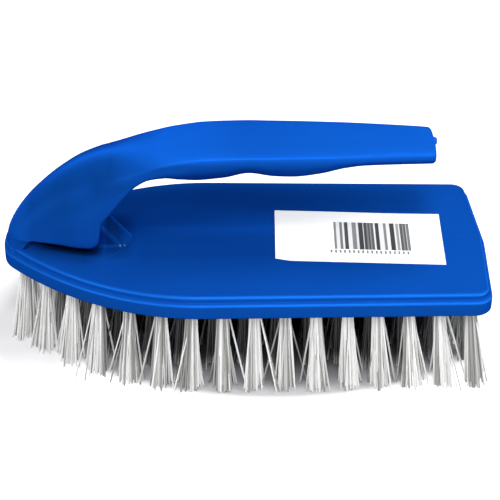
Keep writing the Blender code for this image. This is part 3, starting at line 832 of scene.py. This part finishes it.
# Shade of the strip from each place on, as shares of its length: 1 is bare paper
BARS = ((0.0, 0.25), (0.03, 1), (0.075, 0.2), (0.11, 1), (0.14, 0.02), (0.185, 1), (0.24, 0.25),
        (0.295, 0.9), (0.328, 0.0), (0.385, 0.8), (0.395, 0.02), (0.433, 0.2), (0.455, 0.05),
        (0.475, 0.25), (0.495, 0.08), (0.525, 1), (0.55, 0.0), (0.597, 1), (0.66, 0.25),
        (0.695, 1), (0.742, 0.0), (0.797, 1), (0.822, 0.4), (0.857, 1), (0.875, 0.08),
        (0.91, 0.3), (0.925, 0.08), (0.95, 0.9), (0.96, 0.2), (0.995, 1))


def label_paper():
    """Coated white paper with printed bars: a stepped ramp along the strip gives their shade, and
    a level band across it their height.  The ticks below are an even row cut from a lower band.
    The paper glows faintly with its own colour, a painted light."""
    finish, tones, shader = new_finish("label_paper", Specular_IOR_Level=0.35,
                                       Emission_Strength=0.35)
    along, across = shares_of(tones, "sheet")
    point, _ = place_of(tones)
    fibre = noise(point, 900.0, 4.0)
    strip = (along - STRIP_START) / STRIP_LENGTH
    bars = strip.node("ShaderNodeValToRGB", {"stops": BARS}, {0: strip})
    printed = (across > STRIP_LOW) * (across < STRIP_HIGH) * (strip > 0.0) * (strip < 1.0)
    pitch = strip * TICKS
    ticks = (across > TICKS_LOW) * (across < TICKS_HIGH) * (strip > -0.06) * (strip < 1.0)
    ticks = ticks * (pitch.maths("FRACT", pitch) < 0.45)
    ink = larger((1.0 - bars * 0.72) * printed, ticks * 0.8)
    colour = blend(ink, blend(fibre * 0.5, PAPER, PAPER_FIBRE), INK)
    feed(shader, "Base Color", colour)
    # Painted light: the paper glows with its own colour
    feed(shader, "Emission Color", colour)
    feed(shader, "Roughness", 0.5 + fibre * 0.1 - ink * 0.08)
    feed_bump(shader, fibre, 0.25, 0.1)
    return finish


def label_top(u, v):
    """Upper face of the sheet by the shares of its length and width, cut out of square: each
    corner has its own offset, shared out by the distance from it, and the near edge turns in at
    the nose's end.  It rises at one corner by the square of the way there, and in faint waves."""
    shares = np.stack([(1 - u) * (1 - v), (1 - u) * v, u * (1 - v), u * v])
    offset_x, offset_y = np.tensordot(LABEL_CORNERS, shares, (0, 0))
    x = (u - 0.5) * LABEL_LENGTH + offset_x
    y = (v - 0.5) * LABEL_WIDTH + offset_y
    y = y + EDGE_TURN * np.clip(1 - u / EDGE_TURN_SHARE, 0, 1) * (1 - v)
    lift = CORNER_LIFT * np.clip(u + v - 1.55, 0, 1) ** 2 + WAVE_LIFT * np.sin(5 * u) ** 2 * v
    return np.dstack([LABEL_MIDDLE[0] + x * math.cos(LABEL_TURN) - y * math.sin(LABEL_TURN),
                      LABEL_MIDDLE[1] + x * math.sin(LABEL_TURN) + y * math.cos(LABEL_TURN),
                      LABEL_TOP_Z + np.clip(lift, 0, MOST_LIFT)])


def label_mesh():
    """The sheet's upper face, the same face a thickness lower, and a band round their edge, which
    stays unprinted."""
    u, v = np.meshgrid(np.linspace(0, 1, LABEL_COLUMNS), np.linspace(0, 1, LABEL_ROWS))
    top = label_top(u, v)
    low = top - (0, 0, LABEL_THICKNESS)
    index = np.arange(u.size).reshape(u.shape)
    upper = grid_faces(index)
    lower = upper[:, ::-1] + u.size
    rim = np.concatenate([index[0], index[1:, -1], index[-1, -2::-1], index[-2:0:-1, 0]])
    after = np.roll(rim, -1)
    band = np.stack([after, rim, rim + u.size, after + u.size], -1)
    mesh = bpy.data.meshes.new("label_sheet")
    mesh.from_pydata(np.vstack([top.reshape(-1, 3), low.reshape(-1, 3)]) * MM, [],
                     np.vstack([upper, lower, band]).tolist())
    shares = corner_shares(mesh, np.tile(np.stack([u.ravel(), v.ravel()], 1), (2, 1)))
    shares[upper.size:] = 0.0
    add_map(mesh, "sheet", shares)
    return mesh


show("label_sheet", label_mesh(), label_paper(), ["paper_label"], 40)

# ---------------------------------------------------------------------------------------------
# Studio
# A pale floor, two lamps high in front, a broad one low on each side, three weak ones over the
# brush and its heel, one behind, and a white room.
# ---------------------------------------------------------------------------------------------
WHITE = (1, 1, 1)
ROOM_LIGHT = (0.93, 0.95, 1.0)
FLOOR_PALE = (0.57, 0.57, 0.585)
FLOOR_SHADED = (0.10, 0.10, 0.104)
# Middle of the ovals on the floor, and the squares of their half axes, in millimetres
OVALS_X = 10.0
SHADE_OVAL = (5500.0, 1300.0)
GLOW_OVAL = (4700.0, 1550.0)
# The floor, lamps and camera are placed in metres
FLOOR_HALF = 4.0
LAMP_AIM = (0.01, 0, 0.03)
SIGHT_RISE = 32.7 * DEGREE
SIGHT_TURN = 0.258 * DEGREE
SIGHT_AIM = (0.0018, 0, 0.03129)
SIGHT_DISTANCE = 0.4927
LENS, SENSOR_WIDTH = 104.4, 36.0


def background_rays(tree):
    """One for rays that should see the white background: from the camera, gloss and glass."""
    rays = [Tone(tree).node("ShaderNodeLightPath", give=name)
            for name in ("Is Camera Ray", "Is Glossy Ray", "Is Transmission Ray")]
    return smaller(rays[0] + rays[1] + rays[2], 1.0)


def oval(along, aside, squares):
    """Nought in the middle and one on an oval: the square of each way over its half axis's."""
    return along * along / squares[0] + aside * aside / squares[1]


def pale_floor():
    """Matt floor, pale for the rays that see the background.  Within an oval under the brush it
    carries a painted shadow, and outside another it glows white, less so beyond the nose, where
    a painted soft shade lies."""
    finish, tones, shader = new_finish("pale_floor", Roughness=0.9, Specular_IOR_Level=0.0,
                                       Emission_Strength=1.0)
    sees = background_rays(finish.node_tree)
    _, (x, y, _) = place_of(tones)
    # Painted shadow on the floor, in an oval under the brush
    pale = rising(oval(x - OVALS_X, y, SHADE_OVAL), 0.30, 1.0) ** 1.5
    feed(shader, "Base Color", blend(sees * pale, FLOOR_SHADED, FLOOR_PALE))
    away = oval(x - OVALS_X, y, GLOW_OVAL) - 1.0
    # Painted soft shade beyond the nose, where the glow is less
    soft = falling(x, -65.0, -35.0) * rising(y, -60.0, -15.0) * falling(away, 1.0, 2.25)
    glow = (clipped(away * 4.5) - soft * 0.65) * sees
    feed(shader, "Emission Color", blend(glow, BLACK, WHITE))
    return finish


def soft_lamp(name, place, size, power, aim=LAMP_AIM):
    """A round lamp that points from its place to its aim, and that the camera doesn't see."""
    lamp = bpy.data.lights.new(name, "AREA")
    lamp.shape, lamp.size, lamp.energy = "DISK", size, power
    item = bpy.data.objects.new(name, lamp)
    item.location = place
    item.rotation_euler = (Vector(aim) - Vector(place)).to_track_quat("-Z", "Y").to_euler()
    item.visible_camera = False
    bpy.context.scene.collection.objects.link(item)


world = bpy.data.worlds.new("studio")
bpy.context.scene.world = world
world.use_nodes = True
background = world.node_tree.nodes["Background"]
sees = background_rays(world.node_tree)
feed(background, "Color", blend(sees, ROOM_LIGHT, WHITE))
feed(background, "Strength", 0.03 + sees * 0.97)

floor_mesh = bpy.data.meshes.new("floor")
floor_mesh.from_pydata([(-FLOOR_HALF, -FLOOR_HALF, 0), (FLOOR_HALF, -FLOOR_HALF, 0),
                        (FLOOR_HALF, FLOOR_HALF, 0), (-FLOOR_HALF, FLOOR_HALF, 0)],
                       [], [(0, 1, 2, 3)])
floor_mesh.materials.append(pale_floor())
floor = bpy.data.objects.new("floor", floor_mesh)
bpy.context.scene.collection.objects.link(floor)

soft_lamp("front", (0.0, -0.85, 0.88), 0.25, 2.0)
soft_lamp("front_high", (0.0, -0.6, 1.07), 0.3, 6.3)
soft_lamp("top", (0.0, 0.0, 1.25), 0.5, 1.2)
soft_lamp("left", (-1.0, -0.66, 0.44), 0.7, 5.9)
soft_lamp("right", (1.0, -0.66, 0.44), 0.4, 5.3)
soft_lamp("by_heel", (0.16, -0.08, 0.2), 0.10, 0.16)
soft_lamp("over_heel", (0.14, 0.06, 0.25), 0.10, 0.07)
soft_lamp("behind", (-0.1, 1.0, 0.09), 0.4, 1.2, (0, 0, 0.03))

forward = Vector((math.sin(SIGHT_TURN) * math.cos(SIGHT_RISE),
                  math.cos(SIGHT_TURN) * math.cos(SIGHT_RISE), -math.sin(SIGHT_RISE)))
camera = bpy.data.cameras.new("camera")
camera.lens, camera.sensor_width = LENS, SENSOR_WIDTH
camera.clip_start = 0.01
seat = bpy.data.objects.new("camera", camera)
seat.location = Vector(SIGHT_AIM) - forward * SIGHT_DISTANCE
seat.rotation_euler = forward.to_track_quat("-Z", "Y").to_euler()
bpy.context.scene.collection.objects.link(seat)
bpy.context.scene.camera = seat
bpy.context.scene.view_settings.view_transform = "Standard"
